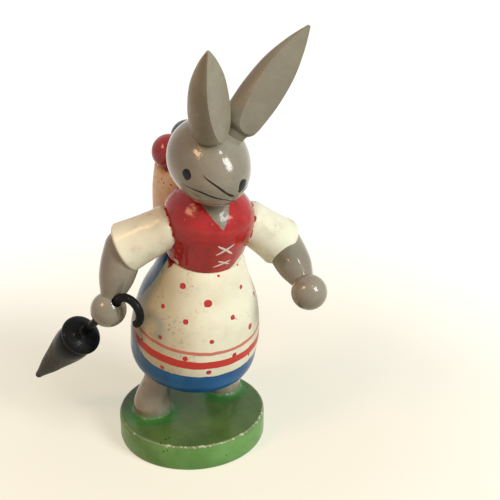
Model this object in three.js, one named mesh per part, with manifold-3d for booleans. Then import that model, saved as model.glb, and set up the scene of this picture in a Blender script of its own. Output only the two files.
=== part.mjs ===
// Easter bunny figurine of turned and painted wood, in millimetres, +Z up.
// The origin is the centre of the base disc's underside. The figure looks towards -Y and its
// right hand is at -X. It leans forward under a tub of eggs and holds a closed umbrella.
import * as THREE from 'three';
import { mergeVertices } from 'three/addons/utils/BufferGeometryUtils.js';
import Module from 'manifold-3d';

const wasm = await Module();
wasm.setup();

// Fits
const GLUE_GAP = 0.15;          // film of glue between two pieces
const PEG_CLEARANCE = 0.12;     // round a glued peg in its hole
const CANE_CLEARANCE = 0.25;    // round the umbrella's cane in the hand, where it turns

// Base disc
const BASE_RADIUS = 15;
const BASE_THICKNESS = 5.5;
const BASE_EDGE_ROUND = 0.6;

// Legs: pear-shaped feet whose shanks go up into the skirt
const LEG_HEIGHT = 11.9;        // from the base to the hem at the body's axis
const FOOT_RADIUS = 3.85;
const FOOT_WIDEST_AT = 2.1;     // above the base
const FOOT_HEIGHT = 7.5;        // where the foot has narrowed to the shank
const SHANK_RADIUS = 2.35;
const SHANK_DEPTH_IN_SKIRT = 5;
const FOOT_PEG_RADIUS = 1.5;
const FOOT_PEG_DEPTH = 3;
const RIGHT_LEG = { x: -8.4, y: 1.3, splay: 8, lean: 2 };
const LEFT_LEG = { x: 8.6, y: 4.2, splay: -8, lean: 8 };

// Body: skirt and bodice stand on one leaning axis
const BODY_X = 0.5;
const BODY_Y = 0.4;
const BODY_LEAN = 14.1;         // degrees forward
const BODY_SIDE_LEAN = 1.5;     // degrees to the figure's left
const SKIRT_HEIGHT = 26.2;
const HEM_RADIUS = 11.2;
const SKIRT_RADIUS = 12.7;
const SKIRT_WIDEST_AT = 4.5;
const SKIRT_SHOULDER_AT = 9;    // where the skirt starts to close towards the waist
const WAIST_RADIUS = 7.2;
const WAIST_PEG_RADIUS = 2;
const WAIST_PEG_DEPTH = 4;
const TORSO_HEIGHT = 14.6;
const CHEST_RADIUS = 8.45;
const CHEST_AT = 9.4;           // above the waist
const NECK_SEAT_RADIUS = 4.6;

// Head: an egg that lies with its narrow end forward and down
const HEAD_SIDE = -1.6;         // of its middle from the body's axis
const HEAD_FORWARD = 1;
const HEAD_ABOVE_TORSO = 6;     // of its middle over the torso's uncut top
const HEAD_PITCH = 24.4;        // degrees that the nose points down
const HEAD_YAW = 4;             // degrees that it looks to the figure's left
const HEAD_TILT = 23.8;         // degrees that it is tipped over to the figure's left
const HEAD_RADIUS = 7.06;
const HEAD_BACK_LENGTH = 7.76;
const HEAD_NOSE_LENGTH = 9.85;
const NECK_PEG_RADIUS = 2;
const NECK_PEG_LENGTH = 10;
const NECK_PEG_DEPTH = 4;       // in the head, above the torso's uncut top

// Ears: spindles with one flat face, pegged into the head
const EAR_LENGTH = 21.3;
const EAR_RADIUS = 3.6;
const EAR_WIDEST_AT = 7.5;
const EAR_FOOT_RADIUS = 2.4;
const EAR_FLAT_OFFSET = 1.9;    // of the flat face from the spindle's axis at its widest
const EAR_TIP_RADIUS = 0.15;
const EAR_PEG_RADIUS = 1.0;
const EAR_PEG_DEPTH = 2.2;
// Each ear's seat on the head, its direction, and how deep the rounded foot sinks in
const RIGHT_EAR = { around: -31.4, forward: 1.2, splay: -37.1, lean: 16.3, flat: 49, sink: 0.3 };
const LEFT_EAR = { around: 9.7, forward: 0.6, splay: 15.2, lean: -13.2, flat: -12, sink: -0.3 };

// Arms: a sleeve, a forearm glued into it at an angle, and a ball for a hand
const SHOULDER_ABOVE_WAIST = 5.7;
const SLEEVE_LENGTH = 8.9;      // from the shoulder to the cuff
const SLEEVE_INSET = 2.4;       // of the sleeve's rounded end in the torso's outline, cut away there
const SLEEVE_CUFF_RADIUS = 4.8;
const SLEEVE_SHOULDER_RADIUS = 4.1;
const SLEEVE_EDGE_ROUND = 0.5;
const SHOULDER_PEG_RADIUS = 1.3;
const SHOULDER_PEG_DEPTH = 3;   // to each side of the torso's surface
const ELBOW_RADIUS = 3.6;
const FOREARM_LENGTH = 12.2;    // from the middle of the cuff to the middle of the hand
const WRIST_RADIUS = 2.3;
const HAND_RADIUS = 3.38;
const WRIST_PEG_RADIUS = 1;
const WRIST_PEG_DEPTH = 1.3;
const RIGHT_ARM = {
  around: -96,                  // degrees of the shoulder round the body from straight ahead
  inset: 0.85,                  // of the shoulder inside the chest's radius
  sleeve: new THREE.Vector3(-0.813, 0.36, -0.458),
  forearm: new THREE.Vector3(-0.311, -0.065, -0.948),
};
const LEFT_ARM = {
  around: 85,
  inset: 0.1,
  sleeve: new THREE.Vector3(0.784, 0.022, -0.621),
  forearm: new THREE.Vector3(0.05, -0.876, -0.48),
};

// Umbrella: a turned closed canopy and a bent cane that turns in the right hand
const CANE_DIRECTION = new THREE.Vector3(0.338, -0.634, 0.696);
const CROOK_DIRECTION = new THREE.Vector3(0.435, -0.55, -0.712);
const CANE_RADIUS = 0.8;
const CROOK_RADIUS = 2.75;
const CROOK_TURN = 190;         // degrees
const CROOK_START = 4.4;        // from the hand's middle along the cane
const CANOPY_TOP = 11.2;        // of the canopy's domed face behind the hand's middle
const CANOPY_LENGTH = 22.9;
const CANOPY_RADIUS = 3.95;
const CANOPY_CAP = 1.7;         // thickness of the domed cap behind the cone
const CANOPY_TIP_RADIUS = 0.7;
const CANE_DEPTH_IN_CANOPY = 3;

// Tub on the back, and the eggs glued on its flat top
const TUB_SIDE = 1.6;
const TUB_SINK = 0.7;           // of the tub's belly into the torso's outline, cut away there
const TUB_BELOW_WAIST = 2;
const TUB_HEIGHT = 11.7;
const TUB_RIM_RADIUS = 6.9;
const TUB_BELLY_RADIUS = 7.05;
const TUB_FOOT_RADIUS = 6.2;
const TUB_EDGE_ROUND = 0.4;
const TUB_PEG_RADIUS = 1.2;
const TUB_PEG_DEPTH = 2.5;      // to each side of the torso's surface
const EGG_RADIUS = 3.4;
const EGGS = [
  { paint: 'red', x: -4.6, y: -0.25 },
  { paint: 'blue', x: 0.8, y: 4.7 },
  { paint: 'yellow', x: 2.7, y: -2.9 },
];

const DEG = Math.PI / 180;
const PAINT = {
  grey: { color: 0x9a9384, roughness: 0.3, metalness: 0 },
  green: { color: 0x4d8a45, roughness: 0.35, metalness: 0 },
  blue: { color: 0x245c8c, roughness: 0.3, metalness: 0 },
  red: { color: 0xb52a28, roughness: 0.28, metalness: 0 },
  cream: { color: 0xf0ead2, roughness: 0.35, metalness: 0 },
  black: { color: 0x1c1d1e, roughness: 0.3, metalness: 0 },
  peach: { color: 0xd8b48c, roughness: 0.4, metalness: 0 },
  yellow: { color: 0xd9b23c, roughness: 0.3, metalness: 0 },
  wood: { color: 0xd8bd92, roughness: 0.6, metalness: 0 },
};

const figure = new THREE.Group();

// A group whose +Z points along a direction and whose +X lies as near as it can to a given one
function frameAlong(origin, direction, nearX, parent = figure) {
  const z = direction.clone().normalize();
  const y = new THREE.Vector3().crossVectors(z, nearX).normalize();
  const x = new THREE.Vector3().crossVectors(y, z);
  const frame = new THREE.Group();
  frame.position.copy(origin);
  frame.quaternion.setFromRotationMatrix(new THREE.Matrix4().makeBasis(x, y, z));
  parent.add(frame);
  parent.updateWorldMatrix(true, true);
  return frame;
}

// A group turned by degrees about X, then Y, then Z
function frameTurned(origin, about, parent = figure) {
  const frame = new THREE.Group();
  frame.position.copy(origin);
  frame.rotation.set(about[0] * DEG, about[1] * DEG, about[2] * DEG);
  parent.add(frame);
  parent.updateWorldMatrix(true, true);
  return frame;
}

function pointIn(frame, x, y, z) {
  return frame.localToWorld(new THREE.Vector3(x, y, z));
}

function directionIn(frame, x, y, z) {
  return new THREE.Vector3(x, y, z).transformDirection(frame.matrixWorld);
}

// The shape drawn in one frame, expressed in another
function carried(geometry, from, to) {
  const change = to.matrixWorld.clone().invert().multiply(from.matrixWorld);
  return geometry.clone().applyMatrix4(change);
}

function solidOf(geometry) {
  const bare = geometry.clone();
  bare.deleteAttribute('normal');
  bare.deleteAttribute('uv');
  const merged = mergeVertices(bare, 1e-4);
  const index = merged.index.array;
  const corners = [];
  for (let i = 0; i < index.length; i += 3) {
    const [a, b, c] = index.slice(i, i + 3);
    if (a !== b && b !== c && c !== a) corners.push(a, b, c);
  }
  return new wasm.Manifold(new wasm.Mesh({
    numProp: 3,
    vertProperties: new Float32Array(merged.attributes.position.array),
    triVerts: new Uint32Array(corners),
  }));
}

function geometryOf(solid) {
  const mesh = solid.getMesh();
  const geometry = new THREE.BufferGeometry();
  geometry.setAttribute('position', new THREE.BufferAttribute(mesh.vertProperties, 3));
  geometry.setIndex(new THREE.BufferAttribute(mesh.triVerts, 1));
  geometry.computeVertexNormals();
  return geometry;
}

// One painted piece, drawn in its frame
function addPiece(name, frame, solid, paint) {
  const piece = new THREE.Mesh(geometryOf(solid), new THREE.MeshStandardMaterial(PAINT[paint]));
  piece.name = name;
  frame.add(piece);
  return piece;
}

// Smooth outline of a turned piece through [radius, height] pairs
function outline(pairs, steps) {
  const curve = new THREE.SplineCurve(pairs.map(([r, z]) => new THREE.Vector2(r, z)));
  return curve.getPoints(steps).map((p) => new THREE.Vector2(Math.max(p.x, 0), p.y));
}

// The same outline moved outwards by a gap
function swollen(points, gap) {
  return points.map((point, i) => {
    const before = points[Math.max(i - 1, 0)];
    const after = points[Math.min(i + 1, points.length - 1)];
    const along = after.clone().sub(before).normalize();
    return new THREE.Vector2(Math.max(point.x + along.y * gap, 0), point.y - along.x * gap);
  });
}

// A turned piece about Z from an outline that runs upwards, closed on the axis at both ends
function turned(points, sides) {
  const closed = [new THREE.Vector2(0, points[0].y), ...points,
    new THREE.Vector2(0, points[points.length - 1].y)];
  return new THREE.LatheGeometry(closed, sides).rotateX(Math.PI / 2);
}

function rod(radius, from, to, sides = 16) {
  return turned([new THREE.Vector2(radius, from), new THREE.Vector2(radius, to)], sides);
}

function ball(radius, sides) {
  const rings = sides / 2;
  const arc = [];
  for (let i = 0; i <= rings; i += 1) {
    const angle = Math.PI * (i / rings - 0.5);
    arc.push(new THREE.Vector2(radius * Math.cos(angle), radius * Math.sin(angle)));
  }
  arc[0].x = 0;
  arc[rings].x = 0;
  return turned(arc, sides);
}

const X = new THREE.Vector3(1, 0, 0);

// Frames
const legFrame = ({ x, y, splay, lean }) =>
  frameTurned(new THREE.Vector3(x, y, BASE_THICKNESS), [lean, splay, 0]);
const rightLegFrame = legFrame(RIGHT_LEG);
const leftLegFrame = legFrame(LEFT_LEG);
const hemHeight = BASE_THICKNESS + LEG_HEIGHT;
const bodyFrame = frameTurned(new THREE.Vector3(BODY_X, BODY_Y, hemHeight), [BODY_LEAN, BODY_SIDE_LEAN, 0]);

// Base disc, with holes for the feet's pegs
const baseSide = [
  new THREE.Vector2(BASE_RADIUS - BASE_EDGE_ROUND / 2, 0),
  new THREE.Vector2(BASE_RADIUS, BASE_EDGE_ROUND / 2),
  new THREE.Vector2(BASE_RADIUS, BASE_THICKNESS - BASE_EDGE_ROUND),
  new THREE.Vector2(BASE_RADIUS - BASE_EDGE_ROUND * 0.3, BASE_THICKNESS - BASE_EDGE_ROUND * 0.3),
  new THREE.Vector2(BASE_RADIUS - BASE_EDGE_ROUND, BASE_THICKNESS),
];
const footPeg = (grow) => rod(FOOT_PEG_RADIUS + grow, -FOOT_PEG_DEPTH - grow, FOOT_HEIGHT / 2);
let base = solidOf(turned(baseSide, 48));
for (const frame of [rightLegFrame, leftLegFrame]) {
  base = base.subtract(solidOf(carried(footPeg(PEG_CLEARANCE), frame, figure)));
}
addPiece('base_disc', figure, base, 'green');

// Legs
const shankTop = LEG_HEIGHT + SHANK_DEPTH_IN_SKIRT;
const legSide = [
  new THREE.Vector2(FOOT_RADIUS * 0.8, -FOOT_RADIUS * 0.35),
  ...outline([[FOOT_RADIUS * 0.93, 0.4], [FOOT_RADIUS, FOOT_WIDEST_AT],
    [FOOT_RADIUS * 0.86, FOOT_HEIGHT * 0.66], [SHANK_RADIUS * 1.05, FOOT_HEIGHT]], 8),
  new THREE.Vector2(SHANK_RADIUS, FOOT_HEIGHT + 1),
  new THREE.Vector2(SHANK_RADIUS, shankTop),
];
const underBase = turned([new THREE.Vector2(BASE_RADIUS * 2, -BASE_RADIUS),
  new THREE.Vector2(BASE_RADIUS * 2, BASE_THICKNESS + GLUE_GAP)], 24);
const shank = (grow) => rod(SHANK_RADIUS + grow, 0, shankTop + grow, 20);
function addLeg(name, frame) {
  const leg = solidOf(turned(legSide, 20))
    .subtract(solidOf(carried(underBase, figure, frame)))
    .add(solidOf(footPeg(0)));
  addPiece(name, frame, leg, 'grey');
}
addLeg('right_leg', rightLegFrame);
addLeg('left_leg', leftLegFrame);

// Skirt, a solid bell with the legs' holes below and the waist peg's hole above
const waist = SKIRT_HEIGHT + GLUE_GAP;
// Bell curve of the skirt: share of the way up from the shoulder, share of the width left
const bell = [[0, 1], [0.38, 0.78], [0.68, 0.4], [0.9, 0.16], [1, 0]]
  .map(([up, width]) => [WAIST_RADIUS + (SKIRT_RADIUS - WAIST_RADIUS) * width,
    SKIRT_SHOULDER_AT + (SKIRT_HEIGHT - SKIRT_SHOULDER_AT) * up]);
const skirtSide = [
  new THREE.Vector2(HEM_RADIUS, 0),
  ...outline([[HEM_RADIUS + 0.9, 0.7], [SKIRT_RADIUS - 0.1, SKIRT_WIDEST_AT * 0.6],
    [SKIRT_RADIUS, SKIRT_WIDEST_AT], ...bell], 14),
];
const waistPeg = (grow) => rod(WAIST_PEG_RADIUS + grow, SKIRT_HEIGHT - WAIST_PEG_DEPTH - grow,
  waist + WAIST_PEG_DEPTH + grow);
let skirt = solidOf(turned(skirtSide, 36)).subtract(solidOf(waistPeg(PEG_CLEARANCE)));
for (const frame of [rightLegFrame, leftLegFrame]) {
  skirt = skirt.subtract(solidOf(carried(shank(PEG_CLEARANCE), frame, bodyFrame)));
}
addPiece('skirt', bodyFrame, skirt, 'cream');
addPiece('waist_peg', bodyFrame, solidOf(waistPeg(0)), 'wood');

// Head frame: +Z runs along the egg to the nose, +Y is the top of the head
const headMiddle = pointIn(bodyFrame, HEAD_SIDE, -HEAD_FORWARD, waist + TORSO_HEIGHT + HEAD_ABOVE_TORSO);
const headPoints = new THREE.Vector3(
  Math.sin(HEAD_YAW * DEG) * Math.cos(HEAD_PITCH * DEG),
  -Math.cos(HEAD_YAW * DEG) * Math.cos(HEAD_PITCH * DEG),
  -Math.sin(HEAD_PITCH * DEG),
);
const headFrame = frameAlong(headMiddle, headPoints, X);
headFrame.rotateZ(-HEAD_TILT * DEG);
headFrame.updateWorldMatrix(true, true);
const headArc = (length, radius, from, to, steps) => {
  const points = [];
  for (let i = 0; i <= steps; i += 1) {
    const angle = (from + (to - from) * i / steps) * DEG;
    points.push(new THREE.Vector2(radius * Math.cos(angle), length * Math.sin(angle)));
  }
  return points;
};
const headSide = [
  ...headArc(HEAD_BACK_LENGTH, HEAD_RADIUS, -90, 0, 7),
  ...headArc(HEAD_NOSE_LENGTH, HEAD_RADIUS, 0, 90, 9).slice(1),
];
headSide[0].x = 0;
headSide[headSide.length - 1].x = 0;

// Torso, cut away where the head rests on it
const torsoSide = outline([[WAIST_RADIUS, 0], [WAIST_RADIUS + 0.6, CHEST_AT * 0.4],
  [CHEST_RADIUS - 0.15, CHEST_AT * 0.75], [CHEST_RADIUS - 0.1, CHEST_AT * 1.06],
  [CHEST_RADIUS - 1.5, (CHEST_AT + TORSO_HEIGHT * 2) / 3], [NECK_SEAT_RADIUS, TORSO_HEIGHT]], 11)
  .map((p) => new THREE.Vector2(p.x, p.y + waist));
const torsoRoom = turned(swollen(torsoSide, GLUE_GAP), 32);
const neckPegTop = waist + TORSO_HEIGHT + NECK_PEG_DEPTH;
const neckPeg = (grow) => rod(NECK_PEG_RADIUS + grow, neckPegTop - NECK_PEG_LENGTH - grow,
  neckPegTop + grow);
let torso = solidOf(turned(torsoSide, 32))
  .subtract(solidOf(waistPeg(PEG_CLEARANCE)))
  .subtract(solidOf(neckPeg(PEG_CLEARANCE)))
  .subtract(solidOf(carried(turned(swollen(headSide, GLUE_GAP), 30), headFrame, bodyFrame)));
addPiece('neck_peg', bodyFrame, solidOf(neckPeg(0)), 'wood');

// Ears
const earSide = [
  ...outline([[EAR_FOOT_RADIUS, 0], [EAR_RADIUS * 0.88, EAR_WIDEST_AT * 0.13],
    [EAR_RADIUS * 0.97, EAR_WIDEST_AT * 0.4], [EAR_RADIUS, EAR_WIDEST_AT],
    [EAR_RADIUS * 0.86, EAR_LENGTH * 0.6], [EAR_RADIUS * 0.5, EAR_LENGTH * 0.82],
    [EAR_TIP_RADIUS, EAR_LENGTH]], 12),
];
function earFrameOf(ear) {
  const headRadiusHere = HEAD_RADIUS * Math.sqrt(1 - (ear.forward / HEAD_NOSE_LENGTH) ** 2);
  const seat = headFrame.localToWorld(
    new THREE.Vector3(Math.sin(ear.around * DEG), Math.cos(ear.around * DEG), 0)
      .multiplyScalar(headRadiusHere - ear.sink).setZ(ear.forward));
  const direction = directionIn(headFrame, Math.sin(ear.splay * DEG),
    Math.cos(ear.splay * DEG) * Math.cos(ear.lean * DEG),
    Math.cos(ear.splay * DEG) * Math.sin(ear.lean * DEG));
  // +X of the frame is the flat's normal, turned about the ear from straight ahead
  const ahead = directionIn(headFrame, Math.sin(ear.flat * DEG), 0, Math.cos(ear.flat * DEG));
  return frameAlong(seat, direction, ahead);
}
const earPeg = (grow) => rod(EAR_PEG_RADIUS + grow, -EAR_PEG_DEPTH - grow, 1);
// What lies beyond the ear's flat face, a plane from the spindle's tip to EAR_FLAT_OFFSET
const flatTilt = Math.atan2(EAR_FLAT_OFFSET, EAR_LENGTH - EAR_WIDEST_AT);
const beyondFlat = new THREE.BoxGeometry(EAR_LENGTH, EAR_LENGTH, EAR_LENGTH * 3)
  .translate(EAR_LENGTH / 2, 0, 0).rotateY(-flatTilt).translate(EAR_TIP_RADIUS / 2, 0, EAR_LENGTH);
const earRoom = turned(swollen(earSide, GLUE_GAP), 20);
const rightEarFrame = earFrameOf(RIGHT_EAR);
const leftEarFrame = earFrameOf(LEFT_EAR);
const ear = solidOf(turned(earSide, 20)).subtract(solidOf(beyondFlat)).add(solidOf(earPeg(0)));
addPiece('right_ear', rightEarFrame, ear, 'grey');
addPiece('left_ear', leftEarFrame,
  ear.subtract(solidOf(carried(earRoom, rightEarFrame, leftEarFrame))), 'grey');
let head = solidOf(turned(headSide, 30))
  .subtract(solidOf(carried(neckPeg(PEG_CLEARANCE), bodyFrame, headFrame)));
for (const frame of [rightEarFrame, leftEarFrame]) {
  head = head.subtract(solidOf(carried(earRoom, frame, headFrame)))
    .subtract(solidOf(carried(earPeg(PEG_CLEARANCE), frame, headFrame)));
}
addPiece('head', headFrame, head, 'grey');

// Arms
const sleeveSide = [
  ...outline([[SLEEVE_SHOULDER_RADIUS * 0.6, -SLEEVE_LENGTH - SLEEVE_INSET],
    [SLEEVE_SHOULDER_RADIUS * 0.95, -SLEEVE_LENGTH - SLEEVE_INSET * 0.45],
    [SLEEVE_SHOULDER_RADIUS, -SLEEVE_LENGTH * 0.8],
    [(SLEEVE_SHOULDER_RADIUS + SLEEVE_CUFF_RADIUS) / 2, -SLEEVE_LENGTH * 0.35],
    [SLEEVE_CUFF_RADIUS, -SLEEVE_EDGE_ROUND]], 8),
  new THREE.Vector2(SLEEVE_CUFF_RADIUS - SLEEVE_EDGE_ROUND, 0),
];
const handTop = FOREARM_LENGTH - HAND_RADIUS;
const forearmSide = [
  ...headArc(ELBOW_RADIUS, ELBOW_RADIUS, -90, 0, 5),
  ...outline([[ELBOW_RADIUS, 0], [ELBOW_RADIUS, handTop * 0.35], [ELBOW_RADIUS * 0.9, handTop * 0.7],
    [WRIST_RADIUS, handTop + 0.25]], 6).slice(1),
];
forearmSide[0].x = 0;
const wristPeg = (grow) => rod(WRIST_PEG_RADIUS + grow, handTop - 1, handTop + WRIST_PEG_DEPTH + grow, 12);
const shoulderPeg = (grow) => rod(SHOULDER_PEG_RADIUS + grow,
  -SLEEVE_LENGTH - SHOULDER_PEG_DEPTH - grow, -SLEEVE_LENGTH + SHOULDER_PEG_DEPTH + grow, 12);

function jointsOfArm({ around, inset, sleeve, forearm }) {
  const reach = CHEST_RADIUS - inset;
  const shoulder = pointIn(bodyFrame, reach * Math.sin(around * DEG), -reach * Math.cos(around * DEG),
    waist + SHOULDER_ABOVE_WAIST);
  const cuff = shoulder.clone().addScaledVector(sleeve.clone().normalize(), SLEEVE_LENGTH);
  const hand = cuff.clone().addScaledVector(forearm.clone().normalize(), FOREARM_LENGTH);
  return { cuff, hand };
}
const caneFrame = frameAlong(jointsOfArm(RIGHT_ARM).hand, CANE_DIRECTION, CROOK_DIRECTION);
const caneHole = rod(CANE_RADIUS + CANE_CLEARANCE, -HAND_RADIUS * 1.5, HAND_RADIUS * 1.5, 16);

function addArm(side, arm, holes) {
  const { cuff, hand: handMiddle } = jointsOfArm(arm);
  const sleeveFrame = frameAlong(cuff, arm.sleeve, new THREE.Vector3(0, 0, 1));
  const forearmFrame = frameAlong(cuff, arm.forearm, X);
  const handFrame = frameAlong(handMiddle, arm.forearm, X);
  const sleeve = solidOf(turned(sleeveSide, 24))
    .subtract(solidOf(carried(torsoRoom, bodyFrame, sleeveFrame)))
    .subtract(solidOf(shoulderPeg(PEG_CLEARANCE)))
    .subtract(solidOf(carried(turned(swollen(forearmSide, GLUE_GAP), 20), forearmFrame, sleeveFrame)));
  addPiece(`${side}_sleeve`, sleeveFrame, sleeve, 'cream');
  addPiece(`${side}_shoulder_peg`, sleeveFrame, solidOf(shoulderPeg(0)), 'wood');
  torso = torso.subtract(solidOf(carried(shoulderPeg(PEG_CLEARANCE), sleeveFrame, bodyFrame)));
  let forearm = solidOf(turned(forearmSide, 20))
    .subtract(solidOf(carried(ball(HAND_RADIUS + GLUE_GAP, 20), handFrame, forearmFrame)))
    .add(solidOf(wristPeg(0)));
  let hand = solidOf(ball(HAND_RADIUS, 20))
    .subtract(solidOf(carried(wristPeg(PEG_CLEARANCE), forearmFrame, handFrame)));
  for (const hole of holes) {
    hand = hand.subtract(solidOf(carried(hole, caneFrame, handFrame)));
    forearm = forearm.subtract(solidOf(carried(hole, caneFrame, forearmFrame)));
  }
  addPiece(`${side}_forearm`, forearmFrame, forearm, 'grey');
  addPiece(`${side}_hand`, handFrame, hand, 'grey');
}
addArm('right', RIGHT_ARM, [caneHole]);
addArm('left', LEFT_ARM, []);

// Umbrella
const caneFrom = -CANOPY_TOP - CANE_DEPTH_IN_CANOPY;
const bendRings = 12;
class CanePath extends THREE.Curve {
  // One step of the path is the straight part, and the others share the bend
  getPoint(t) {
    const step = t * (bendRings + 1);
    if (step <= 1) return new THREE.Vector3(0, 0, caneFrom + (CROOK_START - caneFrom) * step);
    const angle = CROOK_TURN * DEG * (step - 1) / bendRings;
    return new THREE.Vector3(CROOK_RADIUS * (1 - Math.cos(angle)), 0,
      CROOK_START + CROOK_RADIUS * Math.sin(angle));
  }

  getUtoTmapping(u) {
    return u;
  }
}
const caneSection = new THREE.Shape();
caneSection.absarc(0, 0, CANE_RADIUS, 0, Math.PI * 2);
const cane = new THREE.ExtrudeGeometry(caneSection,
  { steps: bendRings + 1, extrudePath: new CanePath(), curveSegments: 6 });
addPiece('umbrella_cane', caneFrame, solidOf(cane), 'black');
const canopySide = [
  ...outline([[CANOPY_TIP_RADIUS * 0.5, -CANOPY_LENGTH], [CANOPY_TIP_RADIUS, -CANOPY_LENGTH + 0.5],
    [CANOPY_RADIUS * 0.55, -CANOPY_LENGTH * 0.45], [CANOPY_RADIUS * 0.81, -CANOPY_CAP * 2],
    [CANOPY_RADIUS * 0.84, -CANOPY_CAP * 1.2]], 8),
  ...outline([[CANOPY_RADIUS * 0.84, -CANOPY_CAP], [CANOPY_RADIUS, -CANOPY_CAP * 0.8],
    [CANOPY_RADIUS, -CANOPY_CAP * 0.5], [CANOPY_RADIUS * 0.8, -CANOPY_CAP * 0.15],
    [CANOPY_RADIUS * 0.35, 0]], 6),
];
const canopyFrame = frameTurned(new THREE.Vector3(0, 0, -CANOPY_TOP), [0, 0, 0], caneFrame);
const caneSocket = rod(CANE_RADIUS + PEG_CLEARANCE, caneFrom - PEG_CLEARANCE, CROOK_START, 12);
const canopy = solidOf(turned(canopySide, 20))
  .subtract(solidOf(carried(caneSocket, caneFrame, canopyFrame)));
addPiece('umbrella_canopy', canopyFrame, canopy, 'black');

// Tub on the back, pegged to the torso, and its eggs
const tubBehind = CHEST_RADIUS + TUB_BELLY_RADIUS - TUB_SINK;
const tubFrame = frameTurned(new THREE.Vector3(TUB_SIDE, tubBehind, waist - TUB_BELOW_WAIST),
  [0, 0, 0], bodyFrame);
const tubSide = [
  new THREE.Vector2(TUB_FOOT_RADIUS, 0),
  ...outline([[TUB_FOOT_RADIUS + TUB_EDGE_ROUND, TUB_EDGE_ROUND],
    [TUB_BELLY_RADIUS, TUB_HEIGHT * 0.55], [TUB_RIM_RADIUS, TUB_HEIGHT - TUB_EDGE_ROUND]], 7),
  new THREE.Vector2(TUB_RIM_RADIUS - TUB_EDGE_ROUND, TUB_HEIGHT),
];
const tubPeg = (grow) => rod(TUB_PEG_RADIUS + grow, -TUB_PEG_DEPTH - grow, TUB_PEG_DEPTH + grow, 12)
  .rotateX(-Math.PI / 2).translate(0, -TUB_BELLY_RADIUS, TUB_HEIGHT * 0.55);
const tub = solidOf(turned(tubSide, 30))
  .subtract(solidOf(carried(torsoRoom, bodyFrame, tubFrame)))
  .subtract(solidOf(carried(turned(swollen(skirtSide, GLUE_GAP), 36), bodyFrame, tubFrame)))
  .subtract(solidOf(tubPeg(PEG_CLEARANCE)));
addPiece('tub', tubFrame, tub, 'peach');
addPiece('tub_peg', tubFrame, solidOf(tubPeg(0)), 'wood');
torso = torso.subtract(solidOf(carried(tubPeg(PEG_CLEARANCE), tubFrame, bodyFrame)));
for (const { paint, x, y } of EGGS) {
  const eggFrame = frameTurned(new THREE.Vector3(x, y, TUB_HEIGHT + GLUE_GAP + EGG_RADIUS),
    [0, 0, 0], tubFrame);
  addPiece(`egg_${paint}`, eggFrame, solidOf(ball(EGG_RADIUS, 18)), paint);
}
addPiece('torso', bodyFrame, torso, 'red');

export default figure;
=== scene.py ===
import math

import bpy
from mathutils import Matrix, Vector
from mathutils.bvhtree import BVHTree


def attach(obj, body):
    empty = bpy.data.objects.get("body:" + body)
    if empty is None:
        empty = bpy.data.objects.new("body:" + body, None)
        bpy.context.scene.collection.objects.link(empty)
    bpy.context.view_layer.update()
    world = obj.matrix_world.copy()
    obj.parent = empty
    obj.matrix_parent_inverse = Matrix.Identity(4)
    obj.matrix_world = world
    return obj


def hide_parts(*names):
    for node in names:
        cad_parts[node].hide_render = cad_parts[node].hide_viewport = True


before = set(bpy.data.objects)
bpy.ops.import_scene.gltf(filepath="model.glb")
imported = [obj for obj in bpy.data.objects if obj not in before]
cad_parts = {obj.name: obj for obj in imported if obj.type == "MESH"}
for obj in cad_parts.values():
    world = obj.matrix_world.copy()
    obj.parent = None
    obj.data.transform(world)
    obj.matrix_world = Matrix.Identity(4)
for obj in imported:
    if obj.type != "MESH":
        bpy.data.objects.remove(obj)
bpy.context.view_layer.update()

# The place where the figure stands: a plain pale table top, with a tall window in front of it to
# the right, a warm lamp to the left, and soft daylight from all round. The camera looks slightly
# down at the figure from its right-hand side.
MM = 0.001
CAMERA_AT = (-50.9, -153.1, 108.8)
CAMERA_TILT = 67.07
CAMERA_TURN = -22.7
CAMERA_LENS = 64.8
LOOK_AT = Vector((0, -4, 40)) * MM
LAMP_AWAY = 0.6
SKY_COLOUR = (1.0, 0.94, 0.86, 1)
SKY_STRENGTH = 0.23
TABLE_SIZE = 6
TABLE_PAINT = (0.45, 0.415, 0.36, 1)
# Near the figure the table's glow is weaker, where the lamps light it most, and warmer: a painted pool
# of warm lamp light.
TABLE_NEAR, NEAR_AT = (0.54, 0.53, 0.44, 1), 0.02
TABLE_FAR, FAR_AT = (0.92, 0.92, 0.9, 1), 0.16


def clear_bench():
    """Nothing is selected, so that the next tool works on its own piece alone"""
    if bpy.context.object and bpy.context.object.mode != "OBJECT":
        bpy.ops.object.mode_set(mode="OBJECT")
    bpy.ops.object.select_all(action="DESELECT")


def hang_lamp(name, turn, height, width, tall, power, colour):
    """A soft lamp at a turn and height in degrees seen from the figure, aimed at its middle"""
    turn, height = math.radians(turn), math.radians(height)
    level = math.cos(height)
    towards = Vector((math.sin(turn) * level, -math.cos(turn) * level, math.sin(height)))
    clear_bench()
    bpy.ops.object.light_add(type="AREA", location=LOOK_AT + towards * LAMP_AWAY)
    lamp = bpy.context.object
    lamp.name = name
    lamp.rotation_euler = towards.to_track_quat("Z", "Y").to_euler()
    lamp.data.shape = "RECTANGLE"
    lamp.data.size = width
    lamp.data.size_y = tall
    lamp.data.energy = power
    lamp.data.color = colour


def seen_itself(tree):
    """1 for the rays that show a place itself: straight on, in a gloss or through something clear"""
    ray = tree.nodes.new("ShaderNodeLightPath")
    seen = ray.outputs["Is Camera Ray"]
    for way in ("Is Glossy Ray", "Is Transmission Ray"):
        either = tree.nodes.new("ShaderNodeMath")
        either.operation = "MAXIMUM"
        tree.links.new(seen, either.inputs[0])
        tree.links.new(ray.outputs[way], either.inputs[1])
        seen = either.outputs[0]
    return seen


clear_bench()
bpy.ops.object.camera_add(
    location=Vector(CAMERA_AT) * MM,
    rotation=(math.radians(CAMERA_TILT), 0, math.radians(CAMERA_TURN)),
)
camera = bpy.context.object
camera.data.lens = CAMERA_LENS
camera.data.sensor_width = 36
camera.data.clip_start = 0.01
camera.data.clip_end = 20
bpy.context.scene.camera = camera

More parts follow.
